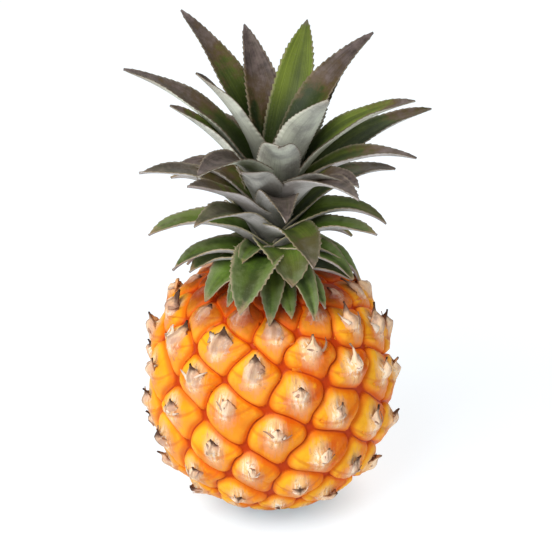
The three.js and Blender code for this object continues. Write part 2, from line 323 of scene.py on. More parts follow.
# %% Relief of one eye
EYE_CELLS = 24
CAP_RADIUS = (26.0, 31.0)
TIP_RADIUS = (33.0, 38.0)
TIP_Z = (6.0, 12.0)
FOOT_HEIGHT = 2.5


def eye_dome(u, v):
    """How far a place is from the middle of its eye, 1 in the groove, and the dome's height."""
    reach = np.minimum(1, (np.abs(2 * u) ** 5 + np.abs(2 * v) ** 5) ** 0.2)
    return reach, (1 - reach ** 5) ** 0.62


def smile(x, seed):
    """Height up the eye of the bract's free edge, which dips in the middle."""
    tilt = 0.16 * (draw(seed, 5) - 0.5)
    return -2.6 + 1.6 * (draw(seed, 6) - 0.5) + tilt * x + 0.042 * x * x


def grown(i, j):
    """Size of an eye's dry point, small near the ends, and how far it may stand out."""
    point, _, _, _, size = middle_of(i, j)
    radius = float(np.hypot(point[0], point[1]))
    high = point[2] > WIDEST_Z
    width = smooth(radius, *CAP_RADIUS) if high else smooth(point[2], *TIP_Z)
    longer = 1 + 0.6 * smooth(point[2], 56, 74)
    return float(width * size * longer), float(smooth(radius, *TIP_RADIUS) if high else 1.0)


def bract_foot(x, y, seed):
    """Height of the bract's fleshy foot over its eye, and depth of the crease above it."""
    below = smile(x, seed) - y
    lip = smooth(below, -0.5, 0.4) * (1 - smooth(below, 0.4, 7.0))
    crease = np.exp(-((below + 0.9) / 0.7) ** 2) * smooth(np.abs(x), 4.0, 6.0)
    mound = np.exp(-(x / 3.4) ** 2) * smooth(y, -4.6, 1.0) * (1 - smooth(y, 2.0, 5.0))
    return 0.7 * lip + FOOT_HEIGHT * mound, crease


def seams(x, y, seed):
    """Three shallow creases from the middle, where the flower's parts met."""
    turn = np.arctan2(x, y + 0.5) + 0.5 * (draw(seed, 16) - 0.5)
    apart = [np.abs((turn - at + np.pi) % (2 * np.pi) - np.pi) for at in (0.15, 2.3, -2.1)]
    far = np.hypot(x, y)
    return np.exp(-(np.min(apart, axis=0) * far / 0.55) ** 2) * smooth(far, 1.5, 4.5)


def wrinkles(x, y, seed):
    """Small uneven swellings of the skin."""
    one = np.sin(1.5 * x + 0.6 * y + 3 * seed) * np.sin(0.5 * x - 1.2 * y + seed)
    two = np.sin(2.6 * x - 0.9 * y + seed) * np.sin(2.1 * y + 1.1 * x + 2 * seed)
    return 0.16 * one + 0.09 * two


def skin_relief(i, j, x, y):
    """Height of the skin over the plain dome of an eye, at (x, y) from its middle."""
    seed = number_of(i, j)
    width, free = grown(i, j)
    foot, crease = bract_foot(x, y, seed)
    bract = min(width, 1) * (0.35 + 0.65 * free) * (foot - 0.4 * crease)
    return bract - 0.35 * seams(x, y, seed) + wrinkles(x, y, seed)


def rind_height(i, j, u, v, x, y):
    """Height of the rind over the smooth fruit, in millimetres."""
    seed = number_of(i, j)
    reach, dome = eye_dome(u, v)
    inside = 1 - smooth(reach, 0.75, 0.98)
    swell = 0.5 * (draw(seed, 7) - 0.5) * dome + 0.06 * y * dome * (draw(seed, 10) - 0.6)
    return EYE_HEIGHT * (dome - 1) + swell + inside * skin_relief(i, j, x, y)


print("relief in the middle of eye 0:", skin_relief(0, 0, *np.zeros((2, 1))).round(2))

# %% Copy the eye over the fruit
EYE_MAP = 30  # millimetres that the map of an eye spans
SEAM = 2e-6  # metres within which corners are merged
CAP_RING = 3.0


def alone(piece):
    """Selects one object alone, and makes it active."""
    bpy.ops.object.select_all(action="DESELECT")
    piece.select_set(True)
    bpy.context.view_layer.objects.active = piece


def grid_tile(columns, rows):
    """A flat grid of one unit, as the start of an eye, a scale, a thread or a leaf."""
    bpy.ops.object.select_all(action="DESELECT")
    bpy.ops.mesh.primitive_grid_add(x_subdivisions=columns, y_subdivisions=rows, size=1)
    piece = bpy.context.active_object
    piece.data.uv_layers.remove(piece.data.uv_layers[0])
    return piece


def flat_places(piece):
    """Where each vertex of a grid lies on it, from -0.5 to 0.5."""
    flat = np.zeros(len(piece.data.vertices) * 3)
    piece.data.vertices.foreach_get("co", flat)
    return flat.reshape(-1, 3)[:, :2]


def place(mesh, points):
    """Moves every vertex of a mesh to its point, given in millimetres."""
    mesh.vertices.foreach_set("co", (points * MM).ravel())
    mesh.update()


def paint_map(mesh, name, pairs):
    """Stores a pair for each vertex, or one for all, as a UV map, which may jump between faces."""
    corner = np.zeros(len(mesh.loops), np.int32)
    mesh.loops.foreach_get("vertex_index", corner)
    layer = mesh.uv_layers.new(name=name)
    pairs = np.broadcast_to(pairs, (len(mesh.vertices), 2))
    layer.data.foreach_set("uv", pairs[corner].ravel())


def paint_value(mesh, name, values):
    """Stores one number for each vertex, which runs smoothly from face to face."""
    layer = mesh.attributes.new(name, "FLOAT", "POINT")
    layer.data.foreach_set("value", values)


def bent_copy(piece, name, points, maps):
    """A copy of a grid with its own mesh, moved to points, which carries the named maps."""
    copy = bpy.data.objects.new(name, piece.data.copy())
    scene.collection.objects.link(copy)
    place(copy.data, points)
    for key, pairs in maps.items():
        paint_map(copy.data, key, pairs)
    return copy


def eye_map(x, y):
    """Where a place is inside its eye, as a pair from 0 to 1."""
    return np.stack([x / EYE_MAP + 0.5, y / EYE_MAP + 0.5], -1)


def eye_luck(seed):
    """The random pair of an eye, which its scale shares."""
    return [draw(seed, 8), draw(seed, 9)]


def joined(copies, name):
    """Joins copies into one object with the given name."""
    alone(copies[0])
    for copy in copies:
        copy.select_set(True)
    bpy.ops.object.join()
    copies[0].name = name
    return copies[0]


tile = grid_tile(EYE_CELLS, EYE_CELLS)
tile_uv = flat_places(tile)
print("one eye:", len(tile.data.vertices), "vertices")


def raise_eye(i, j):
    """One copy of the tile, bent to its place on the fruit and raised."""
    seed = number_of(i, j)
    u, v = tile_uv[:, 0], tile_uv[:, 1]
    centre, _, up, side, size = middle_of(i, j)
    point, out, _, _, sizes = surface(i + u, j + v)
    flat = (point - centre) / size
    x, y = flat @ side, flat @ up
    height = rind_height(i, j, u, v, x, y)
    point = point + out * (height * sizes)[:, None]
    point[:, 2] = np.maximum(point[:, 2], 0)
    maps = {"place": eye_map(x, y), "luck": eye_luck(seed)}
    copy = bent_copy(tile, f"eye_{seed}", point, maps)
    paint_value(copy.data, "groove", eye_dome(u, v)[0])
    paint_value(copy.data, "number", number_of(i + u, j + v))
    return copy


rind = joined([raise_eye(i, j) for i, j in EYES], "rind")
bpy.data.objects.remove(tile)
print("rind before merging:", len(rind.data.vertices), "vertices")

# %% [markdown]
# The copies are merged along the grooves, and what runs past the two ends of the spirals is cut
# off. The upper end closes to a point under the crown. The lower end runs on as a ring round the
# recess that holds the stalk, goes up its wall and closes over it.

# %% Close the rind
def extrude_open_end(mesh, above, where):
    """Extrudes the open edges of the upper or lower half, and moves each new vertex by where."""
    bpy.ops.mesh.select_all(action="DESELECT")
    for edge in mesh.edges:
        high = edge.verts[0].co.z > WIDEST_Z * MM
        if edge.is_boundary and high == above:
            edge.select_set(True)
    bpy.ops.mesh.extrude_edges_indiv()
    for vertex in mesh.verts:
        if vertex.select:
            vertex.co = where(vertex.co)


def on_ring(radius, z):
    return lambda co: Vector((*(co.xy.normalized() * radius * MM), z * MM))


alone(rind)
bpy.ops.object.mode_set(mode="EDIT")
bpy.ops.mesh.select_all(action="SELECT")
bpy.ops.mesh.remove_doubles(threshold=SEAM)
bpy.ops.mesh.select_all(action="DESELECT")
edit = bmesh.from_edit_mesh(rind.data)
bpy.context.tool_settings.mesh_select_mode = (True, False, False)
number = edit.verts.layers.float["number"]
for vertex in edit.verts:
    vertex.select_set(not TOP_EYE <= vertex[number] <= LOW_EYE)
bpy.ops.mesh.delete(type="VERT")
bpy.context.tool_settings.mesh_select_mode = (False, True, False)
extrude_open_end(edit, True, on_ring(CAP_RING, FRUIT_TOP_Z))
bpy.ops.mesh.merge(type="CENTER")
extrude_open_end(edit, False, on_ring(RECESS_RADIUS, 0.0))
extrude_open_end(edit, False, on_ring(RECESS_RADIUS, RECESS_DEPTH))
bpy.ops.mesh.extrude_edges_indiv()
bpy.ops.mesh.merge(type="CENTER")
bpy.ops.mesh.select_all(action="SELECT")
bpy.ops.mesh.remove_doubles(threshold=SEAM)
bpy.ops.mesh.normals_make_consistent(inside=False)
bpy.ops.object.mode_set(mode="OBJECT")
bpy.ops.object.shade_smooth()
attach(rind, "root")
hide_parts("fruit")
print("rind:", len(rind.data.polygons), "faces")

# %% [markdown]
# ## The finish of the rind
# The rind is waxy orange. Each eye's upper left shoulder and the fruit's left side, towards the key
# lamp, carry a painted highlight in yellow. It is red in the grooves and under the crown, partly its
# own colour and partly painted shade. Round each dry point the skin is pale and corky, with brown
# flecks and chalky streaks that are partly painted highlight, and it is painted darker on its right
# side and in the crease above the bract, as painted shade. One picture wrapped round the fruit would
# smear at its ends, so the colours are worked out for each eye: two maps on the mesh carry where a
# place is inside its eye, and a random pair for each eye, so that no two are coloured alike.

# %% Colours of an eye
def eye_skin(start):
    """The colour of an eye's skin, and the values its roughness and bumps need."""
    body, spot, luck = start.body(), start.uv_map("place"), start.uv_map("luck")
    chance, chance_2 = luck.part("X"), luck.part("Y")
    x, y = (spot.part("X") - 0.5) * EYE_MAP, (spot.part("Y") - 0.5) * EYE_MAP
    broad, fine, grain = body.noise(70, 2.0), body.noise(420, 5.0, 0.6), body.noise(1500, 3.0, 0.6)
    rays = spot.times(26.0, 4.0, 1.0).shifted(luck.times(30, 30, 0)).noise(1.0, 3.0, 0.6)
    skin = (broad * 0.9 + chance * 0.6 - 0.25).between(0.2, 0.9)
    skin = skin.to((218, 92, 0), (240, 138, 2))
    # painted highlight: the upper left shoulder of each eye, towards the key lamp, is painted yellow.
    shoulder_highlight = (y * 0.05 - x * 0.05 + fine * 0.5 + broad * 0.4).between(0.4, 1.0) * 0.75
    skin = shoulder_highlight.to(skin, (255, 190, 40))
    dapple = body.noise(210, 4.0, 0.65)
    skin = (dapple.between(0.50, 0.72) * 0.5).to(skin, (255, 190, 48))
    skin = ((1 - dapple).between(0.52, 0.76) * 0.4).to(skin, (206, 80, 6))
    # painted light: the fruit's left side, towards the key lamp, is painted yellower.
    lit_side = (body.part("X") * -12 + (broad - 0.5) * 1.5).between(-0.3, 0.7)
    skin = (lit_side * 0.65).to(skin, (252, 184, 34))
    edge = x * x * 0.042 - 2.6 + (chance_2 - 0.5) * 1.6
    foot = (edge - y + (fine - 0.5) * 4).between(-0.5, 3.0)
    skin = (foot * (0.2 + 0.5 * chance)).to(skin, (248, 160, 52))
    aside = x - (chance - 0.5) * 3
    spread = (aside * aside * 1.2 + (y - 1.2) * (y - 1.2) * 0.45) ** 0.5
    spread = spread + (fine - 0.5) * 4 + (rays - 0.5) * 6
    pale = 1 - spread.between(2.0, 6.6)
    skin = (pale * 0.8).to(skin, (250, 206, 144))
    ring = spread.between(2.0, 4.5) * (1 - spread.between(5.0, 8.0))
    rosy = ring * (chance_2 - y * 0.12).between(0.2, 0.9)
    skin = (rosy * 0.5).to(skin, (224, 140, 100))
    # painted shade: the right side of the pale patch, away from the lamp, is painted orange-brown.
    skin = (pale * (aside + (fine - 0.5) * 2).between(0.3, 3.0) * 0.6).to(skin, (204, 124, 68))
    flecks = (rays * -0.9 - dapple * 0.5).between(-0.66, -0.50) * (1 - spread.between(3.0, 6.5))
    skin = (flecks * 0.6).to(skin, (188, 116, 84))
    # whitish streaks in the corky patch: partly its own colour, partly painted highlight.
    chalk_and_highlight = (rays * 0.8 + fine * 0.4).between(0.56, 0.70) * (1 - spread.between(2.0, 5.6))
    skin = (chalk_and_highlight * 0.9).to(skin, (255, 244, 224))
    # painted shade: the crease above the bract's free edge is painted darker.
    crease = 1 - abs(y - edge - 0.9).between(0.2, 1.1)
    skin = (crease * 0.4).to(skin, (200, 92, 30))
    specks = (grain * 0.6 + fine * 0.5).between(0.60, 0.68) * (1 - spread.between(3.0, 7.0))
    skin = (specks * 0.5).to(skin, (150, 100, 68))
    height = body.part("Z") * 1000 + (broad - 0.5) * 10 + (fine - 0.5) * 6
    # partly the young eyes' own red, partly painted shade under the crown's leaves: the rind is painted
    # dark red from 80 to 90 mm up.
    skin = (height.between(80, 90) * 0.85).to(skin, (142, 30, 8))
    return skin, pale, specks, fine, grain


print("eye colours ready")

# %% Rind finish
rind_paint, shader, start = new_finish("rind_skin")
skin, pale, specks, fine, grain = eye_skin(start)
groove = start.attribute("groove")
# the grooves: partly their own orange-red, partly painted shade that deepens towards the bottom of each
# groove.
skin = (groove.between(0.76, 0.98) * 0.75).to(skin, (226, 92, 0))
skin = (groove.between(0.95, 1.0) * 0.95).to(skin, (184, 54, 0))
relief = fine * 0.6 + grain * 0.25 - specks * 0.5
wire(shader, Base_Color=skin, Roughness=0.42 + pale * 0.25 + fine * 0.12,
     Normal=relief.bump(0.35, 0.0005), Specular_IOR_Level=0.12)
cover(rind, rind_paint)
print("rind finish:", len(rind_paint.node_tree.nodes), "nodes")

# %% [markdown]
# ## The dry points
# In the middle of each eye the bract comes free as a small boat-shaped scale, which stands out
# from the fruit like a hook. One scale copied to each eye would not follow the skin. So a grid is
# bent into each, by the same lattice as the rind, and then given its thickness. A few dry threads,
# the remains of the flower, lie inside most scales.

# %% Shapes of the scales and threads
TIP_OUT = 3.2
TIP_UP = 5.6
SCALE_HALF_WIDTH = 6.6
SCALE_THICKNESS = 0.5
SMALLEST_SCALE = 0.12  # share of the full size under which none is made
THREADS = 3
THREAD_THICKNESS = 0.2


def eye_place(i, j, share, x, y, height):
    """Points at (x, y) from an eye's middle and a height over its skin, all taken by a share."""
    x, y = x * share, y * share
    u, v = np.linalg.inv(lattice_of(i, j)) @ np.stack([x, y])
    point, out, _, _, size = surface(i + u, j + v)
    dome = eye_dome(u, v)[1]
    height = height * share + skin_relief(i, j, x, y)
    return point + out * ((EYE_HEIGHT * (dome - 1) * size) + height)[:, None], x, y


def scale_at(i, j, share, free, flat):
    """One bract scale: a runs across it from -1 to 1, t from its root to its tip."""
    seed = number_of(i, j)
    a, t = flat[:, 0] * 2, flat[:, 1] + 0.5
    width = SCALE_HALF_WIDTH * (0.85 + 0.3 * draw(seed, 11))
    torn = 0.35 * draw(np.round(t * 11) + seed * 3.7 + np.sign(a), 12) * np.abs(a) ** 6
    half = width * np.clip(1 - t, 0.001, 1) ** 1.1 * (1 + 0.3 * t) + 0.25 * (1 - t)
    half = half * (1 - torn * smooth(t, 0.2, 0.5))
    lean = 3.0 * (draw(seed, 13) - 0.5)
    x = a * half + lean * t ** 1.6
    foot = smile(a * width, seed) - 1.6
    top = TIP_UP * (0.9 + 0.5 * draw(seed, 2))
    y = foot + (top - foot) * t
    lift = TIP_OUT * (0.8 + 0.4 * draw(seed, 1)) * t * t * (0.15 + 0.85 * free)
    wave = 0.2 * np.sin(5 * a + 9 * t + seed) * t
    cup = 0.65 * half * np.abs(a) ** 1.3 * smooth(t, 0.1, 0.5) * (0.4 + 0.6 * free)
    height = -0.45 + 0.7 * smooth(t, 0, 0.3) + lift + wave - cup
    return eye_place(i, j, share, x, y, height)


def thread_at(i, j, share, kind, flat):
    """One dry thread lying over the eye: thin, bent and pointed."""
    seed = number_of(i, j) + 0.37 * kind
    a, t = flat[:, 0] * 2, flat[:, 1] + 0.5
    turn = np.radians(120 * (draw(seed, 21) - 0.5))
    length = 2.4 + 2.4 * draw(seed, 22)
    start_x, start_y = 4.5 * (draw(seed, 23) - 0.5), -0.6 + 2.6 * draw(seed, 24)
    bend = 1.4 * (draw(seed, 25) - 0.5)
    along = length * t
    across = a * (0.55 - 0.4 * t) * (0.8 + 0.8 * draw(seed, 26)) + bend * t * t
    x = start_x + along * np.sin(turn) + across * np.cos(turn)
    y = start_y + along * np.cos(turn) - across * np.sin(turn)
    height = 0.5 + (0.2 + 1.2 * draw(seed, 27)) * t ** 1.5 + 0.2 * (1 - a * a)
    return eye_place(i, j, share, x, y, height)


def thickened(piece, thickness, **more):
    """Gives a sheet its thickness with a Solidify modifier, applied."""
    alone(piece)
    wall = piece.modifiers.new("wall", "SOLIDIFY")
    wall.thickness = thickness * MM
    wall.offset = -1
    for key, value in more.items():
        setattr(wall, key, value)
    bpy.ops.object.modifier_apply(modifier=wall.name)
    bpy.ops.object.shade_smooth()


print("scale and thread shapes ready")

# %% Copy the scales and threads
scale_tile, thread_tile = grid_tile(8, 10), grid_tile(2, 4)
scale_flat, thread_flat = flat_places(scale_tile), flat_places(thread_tile)
scale_copies, thread_copies = [], []
for i, j in EYES:
    (share, free), seed = grown(i, j), number_of(i, j)
    if share < SMALLEST_SCALE:
        continue
    points, x, y = scale_at(i, j, share, free, scale_flat)
    maps = {"sheet": scale_flat + 0.5, "luck": eye_luck(seed), "place": eye_map(x, y)}
    scale_copies.append(bent_copy(scale_tile, f"scale_{seed}", points, maps))
    for kind in range(THREADS if free > 0.5 else 0):
        points = thread_at(i, j, share, kind, thread_flat)[0]
        maps = {"sheet": thread_flat + 0.5, "luck": [draw(seed, 30 + kind), draw(seed, 40 + kind)]}
        thread_copies.append(bent_copy(thread_tile, "thread", points, maps))
bpy.data.objects.remove(scale_tile)
bpy.data.objects.remove(thread_tile)
scales = joined(scale_copies, "bract_scales")
threads = joined(thread_copies, "flower_threads")
thickened(scales, SCALE_THICKNESS)
thickened(threads, THREAD_THICKNESS)
for piece in (scales, threads):
    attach(piece, "root")
    print(piece.name, len(piece.data.polygons), "faces")

# %% [markdown]
# A scale has the colours of the rind at its root, where it grows out of it, then turns cream and
# papery, with a brown keel and rim, and is nearly black at its point. Fine lines run along it.
# The threads go from cream to brown. A scale in one plain colour would look stuck on, so its
# finish starts from the same function as the rind's and covers that step by step.

# %% Finish of the scales and threads
scale_paint, shader, start = new_finish("dry_bract")
skin, _, _, fine, _ = eye_skin(start)
sheet, chance, body = start.uv_map("sheet"), start.uv_map("luck").part("X"), start.body()
along, aside = sheet.part("Y"), abs(sheet.part("X") * 2 - 1)
blot = body.noise(260, 3.0, 0.6)
lines = sheet.times(26.0, 2.0, 1.0).noise(1.0, 2.0)
paper = (lines.between(0.40, 0.75) * 0.6).to((254, 226, 192), (222, 172, 134))
paper = ((aside + (fine - 0.5) * 0.6).between(0.55, 1.0) * 0.4).to(paper, (246, 180, 112))
bare = (along + (blot - 0.5) * 0.8 - aside * 0.35).between(0.10, 0.50)
shaded = (sheet.part("X") + (blot - 0.5) * 0.3).between(0.50, 0.72)
paper = (shaded * 0.6).to(paper, (206, 146, 104))
paper = (bare * (1 - body.part("Z").between(0.074, 0.086) * 0.5)).to(skin, paper)
stain = (blot * 0.75 + fine * 0.35 + chance * 0.2).between(0.58, 0.82)
paper = (stain * along.between(0.15, 0.45) * 0.6).to(paper, (186, 142, 126))
rim = (aside + (blot - 0.5) * 0.3).between(0.76, 0.96) * along.between(0.25, 0.5)
paper = (rim * 0.7).to(paper, (138, 90, 64))
keel = 1 - (aside + (blot - 0.5) * 0.4).between(0.04, 0.28)
keel = keel * (along + (chance - 0.5) * 0.4).between(0.34, 0.60)
paper = (keel * 0.6).to(paper, (140, 92, 66))
tip = (along + (blot - 0.5) * 0.4 + (chance - 0.5) * 0.3).between(0.72, 0.94)
paper = (tip * 0.95).to(paper, (74, 48, 36))
wire(shader, Base_Color=paper, Roughness=0.6 + fine * 0.2, Specular_IOR_Level=0.2,
     Normal=(lines + fine).bump(0.5, 0.0003))
cover(scales, scale_paint)

thread_paint, shader, start = new_finish("dry_thread")
sheet, luck = start.uv_map("sheet"), start.uv_map("luck")
straw = luck.part("X").between(0.3, 0.8).to((242, 220, 196), (176, 134, 108))
straw = (sheet.part("Y").between(0.4, 1.0) * luck.part("Y")).to(straw, (112, 76, 58))
wire(shader, Base_Color=straw, Roughness=0.75)
cover(threads, thread_paint)
print("scale and thread finishes done")

# %% [markdown]
# ## The stalk
# The fruit was cut from its stalk, whose short round stub, with a fibrous face, sits level with
# the base. A plain cylinder would show as a clean disc, so it is only the start: its rim is
# bevelled, its faces are divided, and the cut face is raised here and there.

# %% Stalk
STALK_RADIUS = 7.4
STALK_RIM = 0.5
CUT_RADIUS = 6.6
CUT_DEPTH = 0.25
low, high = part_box("stalk")
bpy.ops.object.select_all(action="DESELECT")
bpy.ops.mesh.primitive_cylinder_add(
    vertices=48, radius=STALK_RADIUS * MM, depth=high.z - low.z,
    location=(0, 0, (high.z + low.z) / 2), end_fill_type="TRIFAN")
stalk = bpy.context.active_object
stalk.name = "stalk_end"
bpy.ops.object.transform_apply(location=True, rotation=True, scale=True)
rim = stalk.modifiers.new("rim", "BEVEL")
rim.width = STALK_RIM * MM
rim.segments = 3
rim.limit_method = "ANGLE"
bpy.ops.object.modifier_apply(modifier=rim.name)
bpy.ops.object.mode_set(mode="EDIT")
bpy.ops.mesh.select_all(action="SELECT")
bpy.ops.mesh.subdivide(number_cuts=3)
bpy.ops.object.mode_set(mode="OBJECT")
for vertex in stalk.data.vertices:
    radius = vertex.co.xy.length / MM
    if vertex.co.z < 0.1 * MM and radius < CUT_RADIUS:
        vertex.co.z += CUT_DEPTH * MM * (0.5 + noise.noise(vertex.co * 900))
bpy.ops.object.shade_smooth_by_angle(angle=math.radians(40))
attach(stalk, "root")
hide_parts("stalk")

stalk_paint, shader, start = new_finish("cut_stalk")
body = start.body()
fibres = body.times(1, 1, 0.1).noise(1500, 4.0, 0.7)
broad = body.noise(160, 3.0)
wood = fibres.between(0.35, 0.7).to((196, 166, 118), (128, 94, 56))
wood = (broad.between(0.45, 0.7) * 0.6).to(wood, (104, 74, 44))
wire(shader, Base_Color=wood, Roughness=0.85, Normal=fibres.bump(0.6, 0.0004))
cover(stalk, stalk_paint)
print("stalk:", len(stalk.data.polygons), "faces")

# %% [markdown]
# ## The crown
# The crown is a short stem with its leaves on one golden-angle spiral. The lowest leaves are
# short and lie back on the fruit, the middle ones arch out and the youngest stand up. Each leaf
# could be placed by hand, but its lean, bend and length follow from how high it is rooted, so a
# rule gives them. A table keeps how far single leaves part from it. A few small leaves cover the
# gap over the lowest ones, and the six smallest close over the tip of the stem.

# %% Sizes of the crown
CROWN_Z = 94.0
CROWN_LEAN = math.radians(6.8)
STEM_LENGTH = 43.0
LEAF_COUNT = 58
COVER_LEAVES = 5
HEART_LEAVES = 6
FIRST_HEART_LEAF = LEAF_COUNT + COVER_LEAVES
LEAF_TURN = -137.5
FIRST_LEAF_TURN = 21.0
BASAL_LEAVES = 16
ROOT_OUT = 3.1
FRUIT_CLEARANCE = 2.1
COVER_SHARE = 0.68
NECK_AND_TAPER = {"short": (0.05, 2.3), "long": (0.22, 3.2)}
ROOT_LEAN = [(1, 77), (5, 62), (8, 44), (12, 30), (18, 24), (28, 21), (36, 14), (40, 9)]
TIP_LEAN = [(1, 150), (5, 148), (8, 130), (12, 120), (18, 108), (24, 92), (32, 66), (40, 36)]
LENGTH = [(1, 29), (5, 36), (8, 44), (12, 49), (18, 58), (28, 66), (36, 66), (40, 62)]
HALF_WIDTH = [(1, 5.6), (4, 6.4), (7, 7.3), (14, 7.6), (24, 8.4), (40, 8.4)]
HEART_LEAF = {"root": -4.0, "tip": -34.0, "length": 10.5, "drift": 0.0, "half": 4.4}
PARTING_LEAVES = {  # leaf: (turn, root lean, tip lean, length, sideways drift, half width)
    0: (-2, 75, 153, 31, -4), 1: (38, 50, 136, 31, 10, 9), 2: (-36, 62, 111, 32, -2, 9.4),
    3: (9, 46, 151, 37, -7), 5: (-12, 66, 135, 33, -1), 6: (12, 45, 143, 39, -9, 7.4),
    8: (1, 69, 151, 36, 0), 10: (-5, 35, 156, 40, -5), 11: (-2, 75, 155, 31, 2, 8.9),
    13: (-2, 62, 155, 38, -2), 14: (-5, 67, 153, 34, 4), 16: (4, 55, 144, 45, 1, 9.4),
    18: (5, 32, 104, 44, 2), 19: (-3, 39, 123, 50, -1), 21: (4, 53, 149, 29, 1, 10.5),
    23: (-2, 27, 129, 48, -2), 24: (-5, 28, 108, 48, 1, 7.6), 26: (-25, 42, 119, 47, -5, 8.6),
    27: (1, 28, 107, 57, 0), 28: (-10, 37, 103, 57, -4), 29: (5, 19, 105, 60, 8), 31: (1, 9, 98, 67, 0),
    32: (7, 41, 77, 48, 2), 34: (5, 21, 97, 64, 1), 35: (1, 29, 122, 46, -1), 36: (2, 32, 83, 74, 2),
    37: (5, 31, 73, 58, 5), 39: (-14, 19, 95, 52, -6), 40: (1, 25, 62, 59, 0), 41: (12, 22, 101, 62, 9),
    42: (-8, 20, 72, 65, -2), 43: (-4, 27, 92, 48, -4), 44: (0, 16, 75, 67, 0), 45: (9, 25, 102, 64, 7),
    46: (0, 20, 76, 60, 0), 47: (-11, 10, 53, 64, -7), 48: (1, 29, 79, 74, 0), 49: (4, 12, 47, 51, 3),
    50: (0, 6, 20, 14, 0), 51: (-4, 16, 54, 64, 0), 52: (0, 8, 24, 18, 0), 53: (2, 19, 51, 60, -1),
    54: (11, 14, 60, 66, 4), 55: (0, 5, 15, 14, 0), 56: (-10, 27, 60, 73, -1), 57: (22, 10, 59, 66, -1),
    58: (6, 28, 130, 27, 2, 6), 60: (15, 55, 135, 35, -2, 9), 61: (-35,), 62: (-30,),
}


def at_height(pairs, height):
    """The value at a height, from (height, value) pairs."""
    return float(np.interp(height, *zip(*pairs)))


def leaf_root_height(n):
    """How high up the stem leaf n is rooted."""
    if n >= FIRST_HEART_LEAF:
        return 39 + 0.6 * (n - FIRST_HEART_LEAF)
    if n >= LEAF_COUNT:
        return 6.5 + 0.8 * (n - LEAF_COUNT)
    if n < BASAL_LEAVES:
        return 1.5 + 4.5 * n / BASAL_LEAVES
    return 6 + 34 * ((n - BASAL_LEAVES + 0.5) / 44) ** 0.95


def is_short(n):
    return n < BASAL_LEAVES or n >= LEAF_COUNT


def leaf_rule(n):
    """All that shapes leaf n, by the rule and the table."""
    height = leaf_root_height(n)
    rule = {
        "turn": 0.0,
        "root": at_height(ROOT_LEAN, height) + 6 * (draw(n, 1) - 0.5),
        "tip": at_height(TIP_LEAN, height) + 10 * (draw(n, 2) - 0.5),
        "length": at_height(LENGTH, height) * (0.95 + 0.1 * draw(n, 3)),
        "drift": 12 * (draw(n, 4) - 0.5),
        "half": at_height(HALF_WIDTH, height),
    }
    if n >= FIRST_HEART_LEAF:
        rule.update(HEART_LEAF)
    elif n >= LEAF_COUNT:
        rule["length"] *= COVER_SHARE
    if n in PARTING_LEAVES:
        rule.update(zip(list(rule), PARTING_LEAVES[n]))
    rule["turn"] += FIRST_LEAF_TURN + LEAF_TURN * n
    rule["neck"], rule["taper"] = NECK_AND_TAPER["short" if is_short(n) else "long"]
    return {**rule, "height": height}


def crown_frame(turn, lean):
    """Directions on the crown: up the stem, out, sideways, along the leaf and off its face."""
    stem = np.array([math.sin(CROWN_LEAN), 0, math.cos(CROWN_LEAN)])
    right = np.array([stem[2], 0, -stem[0]])
    front = np.array([0.0, -1, 0])
    turn, lean = np.radians(turn)[..., None], np.radians(lean)[..., None]
    out = right * np.sin(turn) + front * np.cos(turn)
    side = right * np.cos(turn) - front * np.sin(turn)
    along = out * np.sin(lean) + stem * np.cos(lean)
    return stem, out, side, along, stem * np.sin(lean) - out * np.cos(lean)


def lift_off_fruit(points, distance):
    """Moves points out until they are at least a distance above the fruit."""
    half, power = half_and_power(points[:, 2])
    across = np.hypot(points[:, 0], points[:, 1]) / (FRUIT_RADIUS + distance)
    up = np.abs(points[:, 2] - WIDEST_Z) / (half + distance)
    level = np.minimum(1, (across ** power + up ** power) ** (1 / power))
    centre = np.array([0, 0, WIDEST_Z])
    return centre + (points - centre) / level[:, None]


print("leaf 20:", {key: round(float(value), 1) for key, value in leaf_rule(20).items()})

# %% [markdown]
# ## The leaves
# A pineapple leaf is a stiff channel with a clasping base, a long point and a row of hooked
# spines down each edge. It could be cut out of a plane with a picture of its outline, but then it
# has no body. Here a grid is bent along the leaf's middle line, its two edge columns are drawn
# out to a spine at every third row, and a Solidify modifier gives the underside and the rim their
# own finishes. Each leaf carries where its point starts to turn brown.

# %% Bend the leaves
LEAF_COLUMNS = 10
SPINE_SPACING = 2.5
SPINE_SIZE = 0.55
SPINE_STEPS = np.array([0.0, 0.42, 1.0])
LEAF_THICKNESS = 1.7
COVER_AGE = 0.22
BROWN_FROM = {  # leaf: how far along it the purple-brown of its point begins
    24: 0.35, 27: 0.40, 28: 0.60, 29: 0.30, 31: 0.65, 34: 0.35, 36: 0.80, 39: 0.45, 44: 0.75, 45: 0.30,
    48: 0.48, 51: 0.40, 54: 0.95, 56: 0.60, 57: 0.52,
}


def middle_line(rule, rows):
    """Points and directions down the middle of a leaf, one for each row of its grid."""
    def frames(s):
        lean = rule["root"] + (rule["tip"] - rule["root"]) * s
        return crown_frame(rule["turn"] + rule["drift"] * s, lean)

    s = np.arange(rows + 1) / rows
    stem, out, side, along, face = frames(s)
    steps = frames((np.arange(rows) + 0.5) / rows)[3] * rule["length"] / rows
    foot = np.array([0, 0, CROWN_Z]) + stem * rule["height"] + ROOT_OUT * out[0]
    points = foot + np.vstack([np.zeros(3), np.cumsum(steps, axis=0)])
    return s, points, side, along, face


